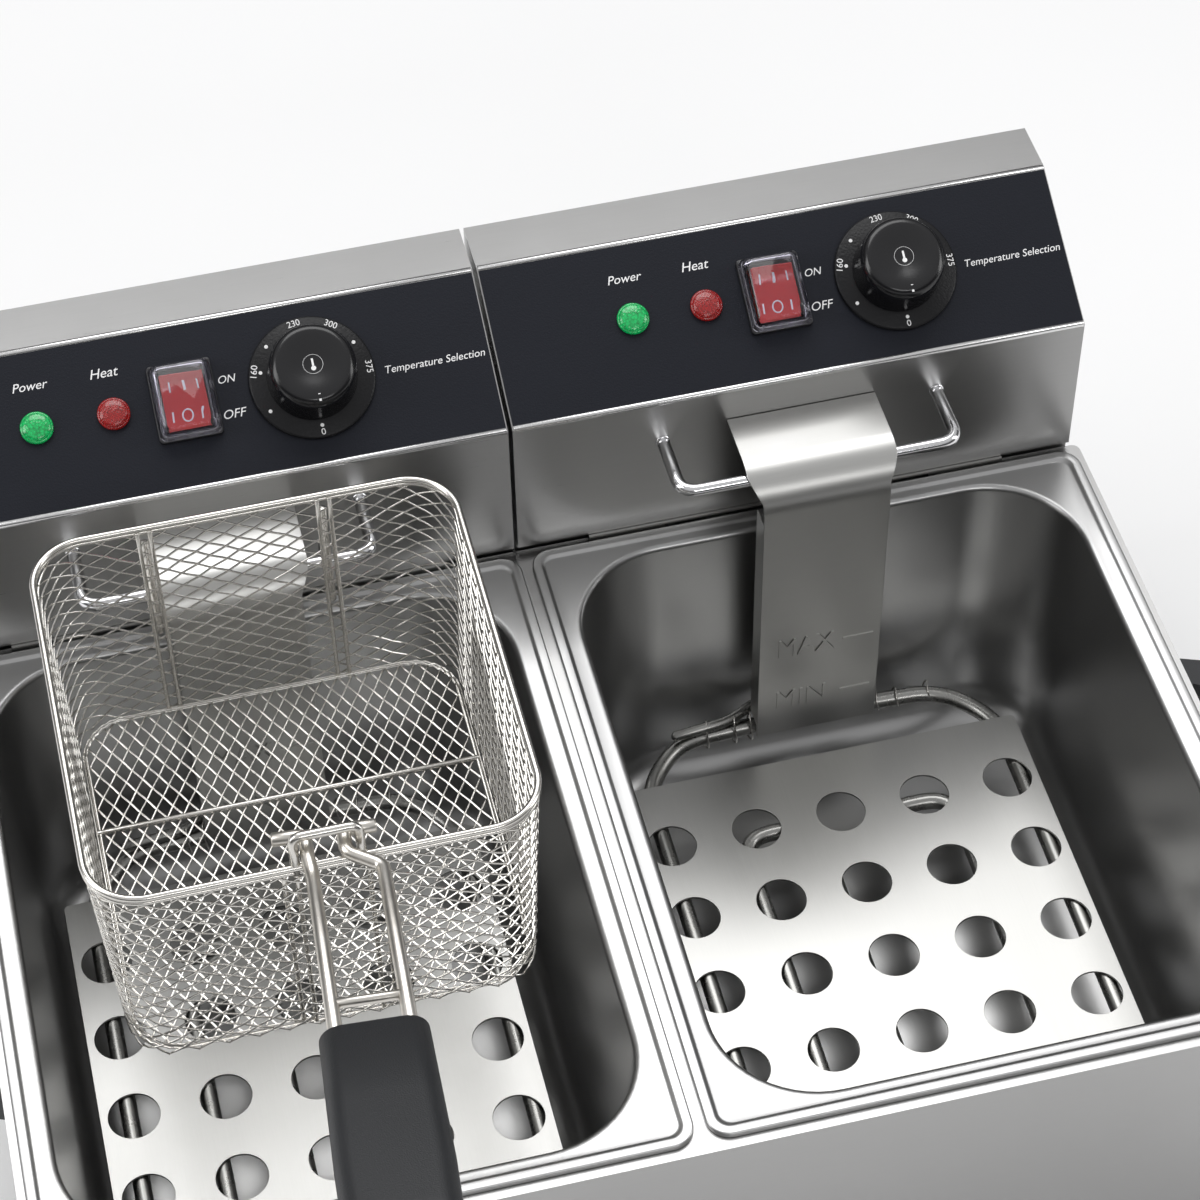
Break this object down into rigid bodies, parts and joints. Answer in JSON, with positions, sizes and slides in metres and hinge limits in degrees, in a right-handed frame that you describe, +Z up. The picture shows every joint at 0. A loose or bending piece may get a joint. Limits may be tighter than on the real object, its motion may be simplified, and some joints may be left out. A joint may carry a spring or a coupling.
{
  "type": "deep fryer",
  "caption": "Countertop electric deep fryer with twin drop-in pans, lift-off control heads with sloping panels, perforated element covers and a hung wire basket.",
  "frame": {"origin": "on the floor, at the middle of the outline seen from above", "axes": "+Z up, front of the fryer towards -Y, +X to the right seen from the front"},
  "size_m": [0.6026, 0.5762, 0.3683],
  "materials": {
    "casing_steel": "satin brushed",
    "pan_steel": "satin polished",
    "brushed_steel": "brushed",
    "cover_steel": "fine satin",
    "element_steel": "satin, heat toned",
    "chrome": "polished",
    "basket_wire": "bright nickel",
    "panel_film": "fine leather grain",
    "dial_plastic": "leather grain",
    "black_plastic": "gloss",
    "grip_plastic": "satin",
    "handle_plastic": "satin",
    "inner_plastic": "plain",
    "rubber": "matte",
    "red_plastic": "gloss",
    "red_lens": "clear grained lens",
    "green_lens": "clear grained lens",
    "clear_cover": "clear flexible"
  },
  "bodies": {
    "root": {"body_casing": "casing_steel", "base_plate": "casing_steel", "foot_front_left": "rubber", "foot_front_right": "rubber", "foot_rear_left": "rubber", "foot_rear_right": "rubber", "side_handle_left": "handle_plastic", "side_handle_right": "handle_plastic", "pan_left": "pan_steel", "pan_right": "pan_steel"},
    "head_left": {"head_housing_left": "brushed_steel", "rear_cover_left": "brushed_steel", "hook_bracket_left": "brushed_steel", "level_plate_left": "brushed_steel", "heating_element_left": "element_steel", "thermostat_bulb_left": "element_steel", "hanger_left": "chrome", "terminal_block_left": "inner_plastic", "overheat_cutout_left": "inner_plastic", "cable_gland_left": "rubber", "control_panel_left": "panel_film", "power_lamp_left": "green_lens", "heat_lamp_left": "red_lens", "switch_body_left": "black_plastic", "switch_cover_left": "clear_cover", "dial_ring_left": "dial_plastic", "thermostat_left": "inner_plastic"},
    "temperature_knob_left": {"knob_left": "black_plastic", "knob_shaft_left": "chrome"},
    "switch_rocker_left": {"rocker_left": "red_plastic"},
    "reset_left": {"reset_button_left": "red_plastic"},
    "cover_left": {"element_cover_left": "cover_steel"},
    "head_right": {"head_housing_right": "brushed_steel", "rear_cover_right": "brushed_steel", "hook_bracket_right": "brushed_steel", "level_plate_right": "brushed_steel", "heating_element_right": "element_steel", "thermostat_bulb_right": "element_steel", "hanger_right": "chrome", "terminal_block_right": "inner_plastic", "overheat_cutout_right": "inner_plastic", "cable_gland_right": "rubber", "control_panel_right": "panel_film", "power_lamp_right": "green_lens", "heat_lamp_right": "red_lens", "switch_body_right": "black_plastic", "switch_cover_right": "clear_cover", "dial_ring_right": "dial_plastic", "thermostat_right": "inner_plastic"},
    "temperature_knob_right": {"knob_right": "black_plastic", "knob_shaft_right": "chrome"},
    "switch_rocker_right": {"rocker_right": "red_plastic"},
    "reset_right": {"reset_button_right": "red_plastic"},
    "cover_right": {"element_cover_right": "cover_steel"},
    "basket": {"basket_mesh": "basket_wire", "basket_rim": "basket_wire", "basket_hook_left": "basket_wire", "basket_hook_right": "basket_wire"},
    "basket_handle": {"handle_frame": "basket_wire", "handle_grip": "grip_plastic"}
  },
  "joints": [
    {"name": "head_lift_left", "type": "slide", "parent": "root", "child": "head_left", "axis": [0, 0, 1], "range_m": [0, 0.2]},
    {"name": "knob_turn_left", "type": "hinge", "parent": "head_left", "child": "temperature_knob_left", "pos_m": [-0.0839, 0.20739, 0.28156], "axis": [0, 0.4829, -0.8757], "range_deg": [0, 270]},
    {"name": "rocker_tilt_left", "type": "hinge", "parent": "head_left", "child": "switch_rocker_left", "pos_m": [-0.1409, 0.20783, 0.28077], "axis": [-1, 0, 0], "range_deg": [0, 20]},
    {"name": "reset_press_left", "type": "slide", "parent": "head_left", "child": "reset_left", "axis": [0, -1, 0], "range_m": [0, 0.002], "stiffness_N_per_m": 300},
    {"name": "cover_lift_left", "type": "slide", "parent": "head_left", "child": "cover_left", "axis": [0, 0, 1], "range_m": [0, 0.1]},
    {"name": "head_lift_right", "type": "slide", "parent": "root", "child": "head_right", "axis": [0, 0, 1], "range_m": [0, 0.2]},
    {"name": "knob_turn_right", "type": "hinge", "parent": "head_right", "child": "temperature_knob_right", "pos_m": [0.1851, 0.20739, 0.28156], "axis": [0, 0.4829, -0.8757], "range_deg": [0, 270]},
    {"name": "rocker_tilt_right", "type": "hinge", "parent": "head_right", "child": "switch_rocker_right", "pos_m": [0.1281, 0.20783, 0.28077], "axis": [-1, 0, 0], "range_deg": [0, 20]},
    {"name": "reset_press_right", "type": "slide", "parent": "head_right", "child": "reset_right", "axis": [0, -1, 0], "range_m": [0, 0.002], "stiffness_N_per_m": 300},
    {"name": "cover_lift_right", "type": "slide", "parent": "head_right", "child": "cover_right", "axis": [0, 0, 1], "range_m": [0, 0.16]},
    {"name": "basket_lift", "type": "slide", "parent": "head_left", "child": "basket", "axis": [0, 0, 1], "range_m": [0, 0.2]},
    {"name": "handle_tilt", "type": "hinge", "parent": "basket", "child": "basket_handle", "pos_m": [-0.1271, -0.06067, 0.3065], "axis": [-0.9976, 0.0698, 0], "range_deg": [0, 25]}
  ]
}
